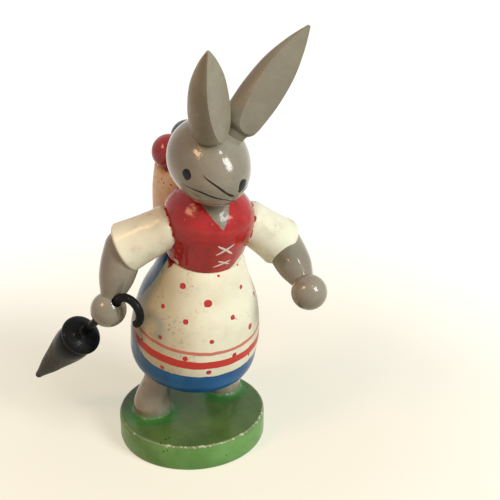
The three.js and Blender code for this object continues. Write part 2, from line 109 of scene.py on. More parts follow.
hang_lamp("window", 29, 34, 0.2, 0.27, 2.95, (0.97, 1.0, 1.0))
hang_lamp("window_top", 24, 59, 0.07, 0.07, 0.3, (0.96, 1.0, 1.0))
hang_lamp("warm_lamp", -75, 45, 0.15, 0.15, 1.12, (1.0, 0.56, 0.28))

bpy.context.scene.view_settings.view_transform = "Standard"
daylight = bpy.data.worlds.new("daylight")
daylight.use_nodes = True
bpy.context.scene.world = daylight
sky = daylight.node_tree
sky.nodes.clear()
lit_sky = sky.nodes.new("ShaderNodeBackground")
lit_sky.inputs["Color"].default_value = SKY_COLOUR
lit_sky.inputs["Strength"].default_value = SKY_STRENGTH
seen_sky = sky.nodes.new("ShaderNodeBackground")
seen_sky.inputs["Color"].default_value = (1, 1, 1, 1)
seen_sky.inputs["Strength"].default_value = 1
either_sky = sky.nodes.new("ShaderNodeMixShader")
sky.links.new(seen_itself(sky), either_sky.inputs[0])
sky.links.new(lit_sky.outputs[0], either_sky.inputs[1])
sky.links.new(seen_sky.outputs[0], either_sky.inputs[2])
around = sky.nodes.new("ShaderNodeOutputWorld")
sky.links.new(either_sky.outputs[0], around.inputs["Surface"])

clear_bench()
bpy.ops.mesh.primitive_plane_add(size=TABLE_SIZE, location=(0, 0, 0))
table_top = bpy.context.object
table_top.name = "table_top"
white_table = bpy.data.materials.new("white_table")
white_table.use_nodes = True
tree = white_table.node_tree
tree.nodes.clear()
matt = tree.nodes.new("ShaderNodeBsdfDiffuse")
matt.inputs["Color"].default_value = TABLE_PAINT
from_here = tree.nodes.new("ShaderNodeTexCoord")
far_off = tree.nodes.new("ShaderNodeVectorMath")
far_off.operation = "LENGTH"
tree.links.new(from_here.outputs["Object"], far_off.inputs[0])
whiter = tree.nodes.new("ShaderNodeMapRange")
whiter.interpolation_type = "SMOOTHSTEP"
whiter.inputs["From Min"].default_value = NEAR_AT
whiter.inputs["From Max"].default_value = FAR_AT
tree.links.new(far_off.outputs["Value"], whiter.inputs["Value"])
tint = tree.nodes.new("ShaderNodeMix")
tint.data_type = "RGBA"
tint.inputs[6].default_value = TABLE_NEAR
tint.inputs[7].default_value = TABLE_FAR
tree.links.new(whiter.outputs["Result"], tint.inputs[0])
glow = tree.nodes.new("ShaderNodeEmission")
tree.links.new(tint.outputs[2], glow.inputs["Color"])
tree.links.new(seen_itself(tree), glow.inputs["Strength"])
both = tree.nodes.new("ShaderNodeAddShader")
tree.links.new(matt.outputs[0], both.inputs[0])
tree.links.new(glow.outputs[0], both.inputs[1])
top = tree.nodes.new("ShaderNodeOutputMaterial")
tree.links.new(both.outputs[0], top.inputs["Surface"])
table_top.data.materials.append(white_table)

# Base disc: a disc of beech off the lathe, 30 mm across, dipped in green enamel. The paint has run
# together round the feet, and it is worn through in small chips along the top edge. The pale chips,
# mostly at the front, and the pale line round the edge are partly a painted highlight.
BASE_RADIUS = 15
BASE_THICKNESS = 5.5
BASE_EDGE = 0.6
BASE_SIDES = 224
# The top's green is painted darker than the side's, as painted shade under the skirt.
SHADED_TOP_GREEN = (0.06, 0.115, 0.028), (0.085, 0.16, 0.036)
SIDE_GREEN = (0.12, 0.28, 0.068), (0.17, 0.37, 0.105)
THIN_GREEN = (0.12, 0.15, 0.055)
THICK_GREEN = (0.03, 0.17, 0.03)
FOOT_SEAM = (0.2, 0.27, 0.15)
# Pale edge line and chips: partly wear, partly a painted highlight on the rounded top edge.
EDGE_LINE = (0.36, 0.42, 0.24)
WEAR_AND_HIGHLIGHT = (0.55, 0.6, 0.4)
GREEN_SPECK = (0.02, 0.03, 0.015)
ARRIS_ANGLE = 38
COAT_ROUGHNESS = 0.05


def place(at, z=(0, 0, 1), x=(1, 0, 0)):
    """Where a piece stands: its origin in mm, and the directions of its own Z and X"""
    up = Vector(z).normalized()
    side = up.cross(Vector(x)).normalized()
    front = side.cross(up)
    turned = Matrix((front, side, up)).transposed().to_4x4()
    return Matrix.Translation(Vector(at) * MM) @ turned @ Matrix.Scale(MM, 4)


def smooth(pairs, spans):
    """A fair curve through radius and height pairs, as a turner's template gives"""
    points = []
    last = len(pairs) - 1
    for i in range(last):
        p0, p1, p2, p3 = (pairs[min(max(i + k, 0), last)] for k in (-1, 0, 1, 2))
        for step_at in range(spans):
            t = step_at / spans
            points.append(tuple(
                (2 * b - 2 * c + (c - a) / 2 + (d - b) / 2) * t ** 3
                + (-3 * b + 3 * c - (c - a) - (d - b) / 2) * t ** 2 + (c - a) / 2 * t + b
                for a, b, c, d in zip(p0, p1, p2, p3)
            ))
    return points + [tuple(pairs[last])]


def round_edge(radius, height, edge, start=0):
    """A quarter round at the upper edge of an outline"""
    angles = [math.radians(a) for a in range(start, 91, 15)]
    return [(radius - edge * (1 - math.cos(a)), height - edge * (1 - math.sin(a))) for a in angles]


def turn_on_lathe(name, outline, sides):
    """A turned piece in mm about Z, from an outline that runs from its foot up"""
    clear_bench()
    bpy.ops.mesh.primitive_plane_add(size=1, location=(0, 0, 0))
    piece = bpy.context.object
    piece.name = name
    bpy.ops.object.mode_set(mode="EDIT")
    bpy.ops.mesh.select_all(action="SELECT")
    bpy.ops.mesh.merge(type="CENTER")
    bpy.ops.transform.translate(value=(outline[0][0], 0, outline[0][1]))
    for (r0, z0), (r1, z1) in zip(outline, outline[1:]):
        bpy.ops.mesh.extrude_vertices_move(TRANSFORM_OT_translate={"value": (r1 - r0, 0, z1 - z0)})
    bpy.ops.mesh.select_all(action="SELECT")
    bpy.ops.mesh.spin(steps=sides, angle=math.tau, center=(0, 0, 0), axis=(0, 0, 1))
    bpy.ops.mesh.select_all(action="SELECT")
    bpy.ops.mesh.remove_doubles(threshold=0.0005)
    bpy.ops.mesh.normals_make_consistent(inside=False)
    bpy.ops.object.mode_set(mode="OBJECT")
    return piece


def pick_up(piece):
    """Only this piece is selected"""
    clear_bench()
    piece.select_set(True)
    bpy.context.view_layer.objects.active = piece


def put(piece, where, node, paint, body="figure"):
    """Sets a finished piece in its place for good, in its paint, on the body it moves with"""
    pick_up(piece)
    piece.matrix_world = where
    bpy.ops.object.transform_apply(location=True, rotation=True, scale=True)
    bpy.ops.object.shade_smooth_by_angle(angle=math.radians(ARRIS_ANGLE))
    piece.data.materials.clear()
    piece.data.materials.append(paint)
    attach(piece, body)
    if node:
        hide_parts(node)


def step(paint, kind, inputs=None, output=0, **settings):
    """One step of a paint's recipe"""
    made = paint.node_tree.nodes.new("ShaderNode" + kind)
    for key, value in settings.items():
        setattr(made, key, value)
    for key, value in (inputs or {}).items():
        if isinstance(value, bpy.types.NodeSocket):
            paint.node_tree.links.new(value, made.inputs[key])
        elif isinstance(value, tuple) and len(value) == 3 and len(made.inputs[key].default_value) == 4:
            made.inputs[key].default_value = (*value, 1)
        else:
            made.inputs[key].default_value = value
    return made.outputs[output]


def tin(name):
    """A new tin of paint, with nothing in it"""
    paint = bpy.data.materials.new(name)
    paint.use_nodes = True
    paint.node_tree.nodes.clear()
    return paint


def spot_on(paint, where):
    """The place on a piece in its own mm"""
    seen_from = step(paint, "TexCoord", output=3)
    at, turned, size = where.decompose()
    return step(paint, "Mapping", {"Vector": seen_from, "Location": at, "Scale": size,
                                   "Rotation": turned.to_euler("XYZ")}, vector_type="TEXTURE")


def along_axes(paint, spot):
    """How far a place is along each of the piece's own three axes"""
    return [step(paint, "SeparateXYZ", {"Vector": spot}, i) for i in range(3)]


def sums(paint, operation, *values):
    return step(paint, "Math", dict(enumerate(values)), operation=operation)


def between(paint, value, low, high, at_low=0.0, at_high=1.0):
    """A share that goes smoothly from one end to the other between two values"""
    return step(paint, "MapRange", {"Value": value, "From Min": low, "From Max": high, "To Min": at_low,
                                    "To Max": at_high}, interpolation_type="SMOOTHSTEP")


def grain(paint, spot, scale, detail=2.0, roughness=0.5):
    return step(paint, "TexNoise", {"Vector": spot, "Scale": scale, "Detail": detail,
                                    "Roughness": roughness})


def ripple(paint, spot, scale, by, detail=2.0, roughness=0.5):
    """An unevenness about nought, for edges that a brush leaves ragged"""
    return sums(paint, "MULTIPLY_ADD", grain(paint, spot, scale, detail, roughness), by, -by / 2)


def over(paint, share, under, colour):
    """One colour laid over another by a share"""
    return step(paint, "Mix", {0: share, 6: under, 7: colour}, output=2, data_type="RGBA")


def dirt(paint, spot, colour, scale, amount, soil):
    """Small specks of dust or soil caught in the paint"""
    cell = step(paint, "TexVoronoi", {"Vector": spot, "Scale": scale, "Randomness": 1.0}, feature="F1")
    patchy = grain(paint, spot, scale * 0.23, 1)
    size = between(paint, patchy, 0.5, 0.72, 0.0, 0.17)
    speck = sums(paint, "LESS_THAN", cell, size)
    return over(paint, sums(paint, "MULTIPLY", speck, amount), colour, soil)


def enamel(paint, spot, colour, gloss=0.2, lumps=0.05, varnish=0.3, shine=0.15, height=None,
           height_mm=0.04):
    """Glossy enamel as it dries on wood: low waves from dipping, fine dust, a thin coat of varnish"""
    waves = grain(paint, spot, 0.4, 1.5)
    dust = grain(paint, spot, 3.0, 2, 0.6)
    normal = step(paint, "Bump", {"Height": waves, "Distance": lumps * 1.4 * MM, "Strength": 1.0})
    normal = step(paint, "Bump", {"Height": dust, "Distance": lumps * 0.16 * MM, "Strength": 1.0,
                                  "Normal": normal})
    if height is not None:
        normal = step(paint, "Bump", {"Height": height, "Distance": height_mm * MM, "Strength": 1.0,
                                      "Normal": normal})
    rough = sums(paint, "MULTIPLY", between(paint, dust, 0.3, 0.7, 0.8, 1.3), gloss)
    dried = paint.node_tree.nodes.new("ShaderNodeBsdfPrincipled")
    dried.inputs["Specular IOR Level"].default_value = shine
    dried.inputs["Coat Weight"].default_value = varnish
    dried.inputs["Coat Roughness"].default_value = COAT_ROUGHNESS
    for socket, value in (("Base Color", colour), ("Roughness", rough), ("Normal", normal),
                          ("Coat Normal", normal)):
        paint.node_tree.links.new(value, dried.inputs[socket])
    finished = paint.node_tree.nodes.new("ShaderNodeOutputMaterial")
    paint.node_tree.links.new(dried.outputs[0], finished.inputs["Surface"])
    return paint


def surface_of(piece):
    """The surface of a finished piece, to measure distances to"""
    mesh = piece.data
    return BVHTree.FromPolygons([v.co for v in mesh.vertices], [p.vertices for p in mesh.polygons])


def measure_to(piece, name, *others):
    """How far each point of a piece is from others, in mm, for paint that gathers where they meet"""
    near = [surface_of(other) for other in others]
    far = piece.data.attributes.new(name, "FLOAT", "POINT")
    for i, v in enumerate(piece.data.vertices):
        far.data[i].value = min(surface.find_nearest(v.co)[3] for surface in near) / MM


def measured(paint, name):
    return step(paint, "Attribute", output=2, attribute_name=name)


base_at = place((0, 0, 0))
base_top_radius = BASE_RADIUS - BASE_EDGE
base_outline = [(0, 0), (base_top_radius, 0), (BASE_RADIUS - BASE_EDGE / 4, BASE_EDGE / 4),
                (BASE_RADIUS, BASE_EDGE), (BASE_RADIUS, BASE_THICKNESS / 2)]
base_outline += round_edge(BASE_RADIUS, BASE_THICKNESS, BASE_EDGE)
base_outline += [(r / 4, BASE_THICKNESS) for r in range(int(base_top_radius * 4) - 1, -1, -1)]
base = turn_on_lathe("painted_base", base_outline, BASE_SIDES)

green = tin("green_enamel")
spot = spot_on(green, base_at)
across, deep, up = along_axes(green, spot)
shade = between(green, grain(green, spot, 0.16, 3), 0.35, 0.68)
# Painted shade: the whole top is a darker green than the side, as under the skirt.
colour = over(green, shade, *SHADED_TOP_GREEN)
thin = between(green, grain(green, spot, 0.9, 3), 0.42, 0.75, 0, 0.3)
colour = over(green, thin, colour, THIN_GREEN)
on_side = between(green, up, BASE_THICKNESS - 0.25, BASE_THICKNESS - 0.6)
colour = over(green, on_side, colour, over(green, shade, *SIDE_GREEN))
from_foot = sums(green, "ADD", measured(green, "from_foot"), ripple(green, spot, 0.8, 0.8))
colour = over(green, between(green, from_foot, 3.4, 1.1, 0, 0.8), colour, THICK_GREEN)
colour = over(green, between(green, from_foot, 0.6, 0.2, 0, 0.5), colour, FOOT_SEAM)
from_middle = sums(green, "SQRT", sums(green, "ADD", sums(green, "MULTIPLY", across, across),
                                       sums(green, "MULTIPLY", deep, deep)))
off_edge = sums(green, "ADD", sums(green, "SUBTRACT", BASE_RADIUS - 0.13, from_middle),
                sums(green, "SUBTRACT", BASE_THICKNESS - 0.13, up))
ragged = sums(green, "ADD", off_edge, ripple(green, spot, 1.3, 1.3, 3, 0.65))
# Pale chips along the top edge, mostly at the front, and a thin pale line round it: worn paint, and
# partly a painted highlight where the rounded edge catches the light.
rubbed_and_lit = between(green, ragged, 0.12, 0.04)
in_front = between(green, deep, 2.0, -9.0, 0.15, 1.0)
chips_and_highlights = sums(green, "MULTIPLY", between(green, grain(green, spot, 0.6, 2), 0.5, 0.55), in_front)
colour = over(green, between(green, off_edge, 0.22, 0.1, 0, 0.4), colour, EDGE_LINE)
colour = over(green, sums(green, "MULTIPLY", rubbed_and_lit, chips_and_highlights), colour, WEAR_AND_HIGHLIGHT)
colour = dirt(green, spot, colour, 0.62, 0.85, GREEN_SPECK)
enamel(green, spot, colour, 0.38, 0.06, 0.18, 0.15)

# Legs: two pear-shaped feet turned with their shanks, glued into the base and the skirt, painted
# grey. Green paint from the base has climbed a little way up them.
FOOT_RADIUS = 3.85
FOOT_WIDEST_AT = 2.1
FOOT_HEIGHT = 7.5
SHANK_RADIUS = 2.35
SHANK_TOP = 17
PAINT_CLIMB = 1.25
GREY_TONES = (0.235, 0.21, 0.152), (0.28, 0.255, 0.187)
GREY_FINE = (0.21, 0.18, 0.125)
BODY_FOOT = Vector((0.5, 0.4, 17.4))
BODY_LEAN = math.radians(14.1)
BODY_SWAY = math.radians(1.5)

body_at = Matrix.Translation(BODY_FOOT * MM) @ Matrix.Rotation(BODY_LEAN, 4, "X") \
    @ Matrix.Rotation(BODY_SWAY, 4, "Y") @ Matrix.Scale(MM, 4)


def grey_enamel(name, where, gloss, varnish, lumps=0.05, pale=1.0):
    """Warm grey enamel, a little browner where it lies thick"""
    paint = tin(name)
    spot = spot_on(paint, where)
    # pale lightens or darkens the whole grey; some pieces use it for painted light and shade.
    dark, light = (tuple(c * pale for c in tone) for tone in GREY_TONES)
    colour = over(paint, between(paint, grain(paint, spot, 0.22, 3), 0.3, 0.7), dark, light)
    fine = between(paint, grain(paint, spot, 2.2, 3, 0.6), 0.35, 0.7, 0, 0.25)
    return enamel(paint, spot, over(paint, fine, colour, GREY_FINE), gloss, lumps, varnish)


def saw_off(piece, at, normal, above=False):
    """Saws away what lies under a plane, or above it, and closes the cut"""
    pick_up(piece)
    bpy.ops.object.mode_set(mode="EDIT")
    bpy.ops.mesh.select_all(action="SELECT")
    bpy.ops.mesh.bisect(plane_co=at, plane_no=Vector(normal).normalized(), use_fill=True,
                        threshold=1e-7, clear_inner=not above, clear_outer=above)
    bpy.ops.object.mode_set(mode="OBJECT")


leg_outline = [(0, -1.6), (FOOT_RADIUS * 0.8, -1.35)] + smooth(
    [(FOOT_RADIUS * 0.93, 0.4), (FOOT_RADIUS, FOOT_WIDEST_AT), (FOOT_RADIUS * 0.86, FOOT_HEIGHT * 0.66),
     (SHANK_RADIUS * 1.05, FOOT_HEIGHT)], 8)
leg_outline += [(SHANK_RADIUS, FOOT_HEIGHT + 1), (SHANK_RADIUS, SHANK_TOP), (0, SHANK_TOP)]
legs = []
for side, at, up_leg, out_leg in (
    ("right", (-8.4, 1.3, BASE_THICKNESS), (0.1392, -0.0346, 0.9897), (0.9903, 0.0049, -0.1391)),
    ("left", (8.6, 4.2, BASE_THICKNESS), (-0.1392, -0.1378, 0.9806), (0.9903, -0.0194, 0.1378)),
):
    leg_at = place(at, up_leg, out_leg)
    leg = turn_on_lathe(side + "_foot_and_shank", leg_outline, 72)
    # The legs' grey is painted a quarter paler than the head's: painted light on the feet under the
    # skirt.
    put(leg, leg_at, side + "_leg",
        grey_enamel(side + "_leg_grey", leg_at, 0.2, 0.8, 0.07, 1.25))
    saw_off(leg, (0, 0, BASE_THICKNESS * MM), (0, 0, 1))
    saw_off(leg, body_at @ Vector((0, 0, 0.05)), body_at.to_3x3() @ Vector((0, 0, 1)), above=True)
    legs.append(leg)

put(base, base_at, "base_disc", green)
for leg in legs:
    near = surface_of(leg)
    for v in base.data.vertices:
        if v.co.z < (BASE_THICKNESS - 0.01) * MM or v.co.xy.length > base_top_radius * MM:
            continue
        away = near.find_nearest(Vector((v.co.x, v.co.y, (BASE_THICKNESS + 0.4) * MM)))[3]
        gone = PAINT_CLIMB * MM - away
        if gone > 0:
            climb = PAINT_CLIMB * MM - math.sqrt((PAINT_CLIMB * MM) ** 2 - gone ** 2)
            v.co.z = max(v.co.z, BASE_THICKNESS * MM + climb)
base.data.update()
measure_to(base, "from_foot", *legs)

# Skirt: a solid bell off the lathe, painted blue all round, with a cream apron painted over its
# front. The apron has a band of red above its lower edge, a thin red line and scattered red dots.
SKIRT_HEIGHT = 26.2
HEM_RADIUS = 11.2
SKIRT_RADIUS = 12.7
SKIRT_WIDEST_AT = 4.5
SKIRT_SHOULDER_AT = 9
WAIST_RADIUS = 7.2
BELL = ((0, 1), (0.38, 0.78), (0.68, 0.4), (0.9, 0.16), (1, 0))
CREAM = (0.86, 0.84, 0.65)
SOILED_CREAM = (0.72, 0.65, 0.44)
# Painted shade: the cream darkened towards the apron's left side, away from the window.
SHADED_LEFT_CREAM = (0.42, 0.35, 0.2)
GRIME = (0.2, 0.17, 0.1)
CREAM_SPECK = (0.2, 0.15, 0.09)
BLUE = (0.004, 0.09, 0.25), (0.01, 0.125, 0.33)
BAND_RED = (0.58, 0.05, 0.038)
LINE_RED = (0.6, 0.13, 0.085)
RED_RUN = (0.42, 0.02, 0.02)
DOT_RED = (0.46, 0.022, 0.02), (0.56, 0.035, 0.03)
APRON_DOTS = (
    (-5.77, -5.86, 23.3, 0.6), (-1.87, -8.91, 20.84, 0.76), (-9.0, -4.97, 18.39, 0.44),
    (-5.87, -8.98, 17.28, 0.52), (2.85, -10.21, 17.57, 0.5), (5.1, -7.04, 21.96, 0.44),
    (9.23, -4.97, 17.89, 0.58), (7.21, -9.41, 13.77, 0.62), (-9.86, -6.99, 12.69, 0.42),
    (-1.43, -11.76, 13.78, 0.44), (-6.07, -10.99, 9.92, 0.52), (3.43, -12.08, 9.67, 0.5),
    (-12.12, -3.43, 9.39, 0.45), (-9.53, -8.47, 6.31, 0.46), (-1.67, -12.62, 6.88, 0.54),
    (7.3, -10.4, 7.42, 0.3), (0.27, -7.39, 25.67, 0.26), (4.65, -5.38, 26.0, 0.24),
)
DOT_TAIL = ((2.85, -10.21, 17.57), (3.4, -10.1, 17.1), (3.9, -10.0, 16.75))

skirt_outline = [(0, 0), (HEM_RADIUS - 0.6, 0)] + smooth(
    [(HEM_RADIUS - 0.2, 0.12), (HEM_RADIUS + 0.45, 0.5), (HEM_RADIUS + 1.1, 1.4),
     (SKIRT_RADIUS - 0.07, SKIRT_WIDEST_AT * 0.62), (SKIRT_RADIUS, SKIRT_WIDEST_AT)]
    + [(WAIST_RADIUS + (SKIRT_RADIUS - WAIST_RADIUS) * wide,
        SKIRT_SHOULDER_AT + (SKIRT_HEIGHT - SKIRT_SHOULDER_AT) * high) for high, wide in BELL], 7)
skirt = turn_on_lathe("painted_skirt", skirt_outline + [(0, SKIRT_HEIGHT)], 144)


def two_tones(paint, spot, scale, dark, light, detail=3, roughness=0.5):
    """A colour a little darker where the paint lies thick"""
    thick = between(paint, grain(paint, spot, scale, detail, roughness), 0.35, 0.7)
    return over(paint, thick, dark, light)


def round_the_body(paint, x, y):
    """The angle round the figure in degrees, from the middle of its front"""
    angle = sums(paint, "ARCTAN2", x, sums(paint, "MULTIPLY", y, -1.0))
    return sums(paint, "MULTIPLY", angle, 180 / math.pi)


def soiled_cream(paint, spot, scale):
    """Cream paint that has yellowed in patches"""
    soiled = between(paint, grain(paint, spot, scale, 4, 0.6), 0.4, 0.75, 0, 0.5)
    return over(paint, soiled, CREAM, SOILED_CREAM)


def stripe(paint, height, low, high, soft):
    """A share of 1 between two heights, with edges of a given softness"""
    return sums(paint, "MULTIPLY", between(paint, height, low - soft, low + soft),
                between(paint, height, high + soft, high - soft))


cloth = tin("skirt_enamel")
spot = spot_on(cloth, body_at)
x, y, z = along_axes(cloth, spot)
wobble = ripple(cloth, spot, 0.35, 0.5)
z = sums(cloth, "ADD", z, wobble)
turned = sums(cloth, "ADD", round_the_body(cloth, x, y), sums(cloth, "MULTIPLY", wobble, 6.0))
aside = sums(cloth, "ABSOLUTE", turned)
reach = between(cloth, z, 12.0, 26.0, 101.0, 84.0)
inside = between(cloth, sums(cloth, "SUBTRACT", reach, aside), -0.25, 0.25)
corner = between(cloth, aside, 55.0, 104.0, 0.0, 3.4)
above_hem = between(cloth, sums(cloth, "SUBTRACT", z, corner), 5.66, 5.74)
apron = sums(cloth, "MULTIPLY", inside, above_hem)
cream = soiled_cream(cloth, spot, 0.2)
# The apron is painted darker towards its left edge: painted shade where the light falls off.
cream = over(cloth, between(cloth, x, -1.5, -10.0, 0.0, 0.55), cream, SHADED_LEFT_CREAM)
left_side = between(cloth, x, 0.5, -9.0, 0.12, 1.0)
patches = between(cloth, grain(cloth, spot, 0.32, 3), 0.42, 0.7)
specks = between(cloth, grain(cloth, spot, 1.7, 4, 0.75), 0.52, 0.66)
grime = sums(cloth, "MULTIPLY", sums(cloth, "MULTIPLY", left_side, patches), specks)
cream = over(cloth, sums(cloth, "MULTIPLY", grime, 0.9), cream, GRIME)
cream = dirt(cloth, spot, cream, 1.3, 0.6, CREAM_SPECK)
band = stripe(cloth, z, 7.7, 9.4, 0.04)
line = stripe(cloth, z, 10.9, 11.56, 0.06)
cream = over(cloth, band, cream, BAND_RED)
cream = over(cloth, sums(cloth, "MULTIPLY", line, 0.88), cream, LINE_RED)
colour = over(cloth, apron, two_tones(cloth, spot, 0.3, *BLUE), cream)
from_run = sums(cloth, "ABSOLUTE", sums(cloth, "ADD", turned, 76.0))
run = sums(cloth, "ADD", sums(cloth, "MULTIPLY", from_run, 0.11), sums(cloth, "SUBTRACT", 25.6, z))
run = sums(cloth, "ADD", run, ripple(cloth, spot, 1.3, 2.4))
red_run = sums(cloth, "MULTIPLY", between(cloth, run, 0.55, 0.45), between(cloth, z, 24.2, 24.4))
colour = over(cloth, red_run, colour, RED_RUN)
on_apron = sums(cloth, "MULTIPLY", sums(cloth, "ADD", band, line), apron)
raised = sums(cloth, "ADD", apron, on_apron)
cloth_gloss = sums(cloth, "MULTIPLY_ADD", apron, 0.12, 0.2)
enamel(cloth, spot, colour, cloth_gloss, 0.06, 0.05, 0.16, raised, 0.04)
put(skirt, body_at, "skirt", cloth)

brushful = turn_on_lathe("brushful", [(0, -3), (1, -3), (1, -0.4), (0.98, 0.3), (0.9, 0.66),
                                      (0.72, 0.88), (0.42, 0.98), (0.2, 1), (0, 1)], 44)


def mark(near, path, widths, thick=0.035, uneven=0.0, turn=0.0):
    """A mark of thick paint that a loaded brush leaves along a path, domed and thin-edged"""
    pick_up(brushful)
    bpy.ops.object.duplicate()
    stroke = bpy.context.object
    line = [Vector(p) for p in smooth([tuple(p) for p in path], 8)]

    def along(s):
        at = min(max((s + 1) / 2, 0), 1) * (len(line) - 1)
        i = min(int(at), len(line) - 2)
        return line[i].lerp(line[i + 1], at - i)

    for v in stroke.data.vertices:
        s, t, lift = v.co
        a = math.atan2(t, s) + turn
        waves = math.sin(3 * a) * 0.6 + math.sin(5 * a + turn) * 0.4 + math.sin(2 * a - turn) * 0.5
        s, t = s * (1 + uneven * waves), t * (1 + uneven * waves)
        found, normal = near.find_nearest(along(s))[:2]
        beside = normal.cross(along(s + 0.05) - along(s - 0.05)).normalized()
        at = min(max((s + 1) / 2, 0), 1) * (len(widths) - 1)
        i = min(int(at), len(widths) - 2)
        width = widths[i] + (widths[i + 1] - widths[i]) * (at - i)
        found, normal = near.find_nearest(found + beside * (t * width / 2 * MM))[:2]
        v.co = found + normal * (lift * thick * MM)
    return stroke


def round_mark(near, at, radius, **more):
    """A round dot of paint, put on with the end of a stick"""
    found, normal = near.find_nearest(at)[:2]
    aside = normal.cross(Vector((0, 0, 1))).normalized() * (radius * MM)
    return mark(near, (found - aside, found + aside), (radius * 2, radius * 2), **more)


def put_marks(name, marks, paint):
    """Marks of one colour on one piece are one object"""
    clear_bench()
    for stroke in marks:
        stroke.select_set(True)
    bpy.context.view_layer.objects.active = marks[0]
    bpy.ops.object.join()
    marks[0].name = name
    put(marks[0], Matrix.Identity(4), None, paint)


red_dots = tin("red_dot_enamel")
spot = spot_on(red_dots, body_at)
enamel(red_dots, spot, two_tones(red_dots, spot, 1.1, *DOT_RED), 0.22, 0.04, 0.4)
near = surface_of(skirt)
dots = [round_mark(near, body_at @ Vector(at), radius, uneven=0.03, turn=i * 1.7)
        for i, (*at, radius) in enumerate(APRON_DOTS)]
dots.append(mark(near, [body_at @ Vector(at) for at in DOT_TAIL], (0.16, 0.08), 0.015))
put_marks("apron_dots", dots, red_dots)

# Bodice: the upper body, a short turned barrel, glued on the skirt. It is red, with a grey V for
# the neck and two white crosses of lacing. The head sits close on its top.
WAIST_AT = 26.35
TORSO_HEIGHT = 14.3
CHEST_RADIUS = 8.45
CHEST_AT = 9.4
TORSO_TILT = math.radians(2.5)
BODICE_RED = (0.36, 0.01, 0.01), (0.47, 0.02, 0.018)
BODICE_SPECK = (0.16, 0.01, 0.01)
NECK_GREY = (0.26, 0.235, 0.175)
NECK_V_AT = 36.2
WORN_SPOT_AT = (-6.5, -3.3, 27.05)
WORN_SPOT = (0.72, 0.6, 0.5)
LACING_WHITE = (0.68, 0.6, 0.5), (0.82, 0.78, 0.66)
LACING = (
    (((-0.88, -8.17, 33.04), (0.8, -8.03, 31.9), (2.35, -7.46, 30.47)), (0.45, 0.5, 0.4)),
    (((2.28, -7.89, 33.0), (0.75, -8.05, 31.95), (-0.91, -7.83, 30.83)), (0.3, 0.48, 0.45)),
    (((-0.29, -7.63, 29.25), (0.9, -7.5, 28.7), (2.19, -7.1, 27.99)), (0.35, 0.45, 0.35)),
    (((2.21, -7.26, 29.01), (0.9, -7.5, 28.55), (-1.0, -7.33, 27.8)), (0.3, 0.42, 0.3)),
)

torso_outline = [(0, -0.1)] + smooth(
    [(WAIST_RADIUS, -0.1), (WAIST_RADIUS + 0.65, CHEST_AT * 0.39), (CHEST_RADIUS - 0.1, CHEST_AT * 0.7),
     (CHEST_RADIUS - 0.07, CHEST_AT * 0.85), (CHEST_RADIUS - 0.23, CHEST_AT * 0.98),
     (CHEST_RADIUS - 0.7, 10.3), (CHEST_RADIUS - 1.55, 11.5), (CHEST_RADIUS - 2.85, 12.7),
     (CHEST_RADIUS - 4.2, 13.7), (3.2, TORSO_HEIGHT)], 6) + [(0, TORSO_HEIGHT)]
torso_at = body_at @ Matrix.Translation((0, 0, WAIST_AT)) @ Matrix.Rotation(TORSO_TILT, 4, "Y")
torso = turn_on_lathe("painted_bodice", torso_outline, 120)


def pimples_on(paint, spot, scale, wide):
    """Small round bumps of dust under the paint"""
    cell = step(paint, "TexVoronoi", {"Vector": spot, "Scale": scale, "Randomness": 1.0}, feature="F1")
    return between(paint, cell, *wide)


bodice = tin("bodice_enamel")
spot = spot_on(bodice, body_at)
x, y, z = along_axes(bodice, spot)
red = dirt(bodice, spot, two_tones(bodice, spot, 0.25, *BODICE_RED), 0.9, 0.7, BODICE_SPECK)
ragged = ripple(bodice, spot, 1.4, 0.7, 3, 0.6)
rise = sums(bodice, "SUBTRACT", z, NECK_V_AT)
left_of = sums(bodice, "ADD", x, sums(bodice, "MULTIPLY_ADD", rise, 0.92, 0.18))
right_of = sums(bodice, "SUBTRACT", sums(bodice, "MULTIPLY_ADD", rise, 0.56, 0.02), x)
inside_v = sums(bodice, "ADD", sums(bodice, "MINIMUM", left_of, right_of), ragged)
neck = sums(bodice, "MULTIPLY", between(bodice, inside_v, -0.05, 0.05), between(bodice, y, -3.0, -3.6))
colour = over(bodice, neck, red, NECK_GREY)
turned = round_the_body(bodice, x, y)
lifted = sums(bodice, "MULTIPLY", between(bodice, turned, 18.0, 42.0, 0.0, 2.1),
              between(bodice, turned, 72.0, 55.0))
lower_edge = sums(bodice, "ADD", z, sums(bodice, "MULTIPLY", ragged, 0.5))
over_hem = sums(bodice, "SUBTRACT", sums(bodice, "ADD", lifted, WAIST_AT), lower_edge)
colour = over(bodice, between(bodice, over_hem, -0.04, 0.04), colour, CREAM)
worn_spot = step(bodice, "VectorMath", {0: spot, 1: WORN_SPOT_AT}, 1, operation="DISTANCE")
worn_spot = sums(bodice, "ADD", worn_spot, sums(bodice, "MULTIPLY", ragged, 2.6))
colour = over(bodice, between(bodice, worn_spot, 0.62, 0.5), colour, WORN_SPOT)
enamel(bodice, spot, colour, 0.16, 0.15, 0.4, 0.12, pimples_on(bodice, spot, 0.8, (0.3, 0.02)), 0.05)
put(torso, torso_at, "torso", bodice)

lacing_paint = tin("lacing_enamel")
spot = spot_on(lacing_paint, body_at)
enamel(lacing_paint, spot, two_tones(lacing_paint, spot, 1.5, *LACING_WHITE), 0.3, 0.04, 0.3)
near = surface_of(torso)
lacing = [mark(near, [body_at @ Vector(at) for at in ends], widths, 0.05, 0.04, turn)
          for turn, (ends, widths) in enumerate(LACING)]
put_marks("bodice_lacing", lacing, lacing_paint)

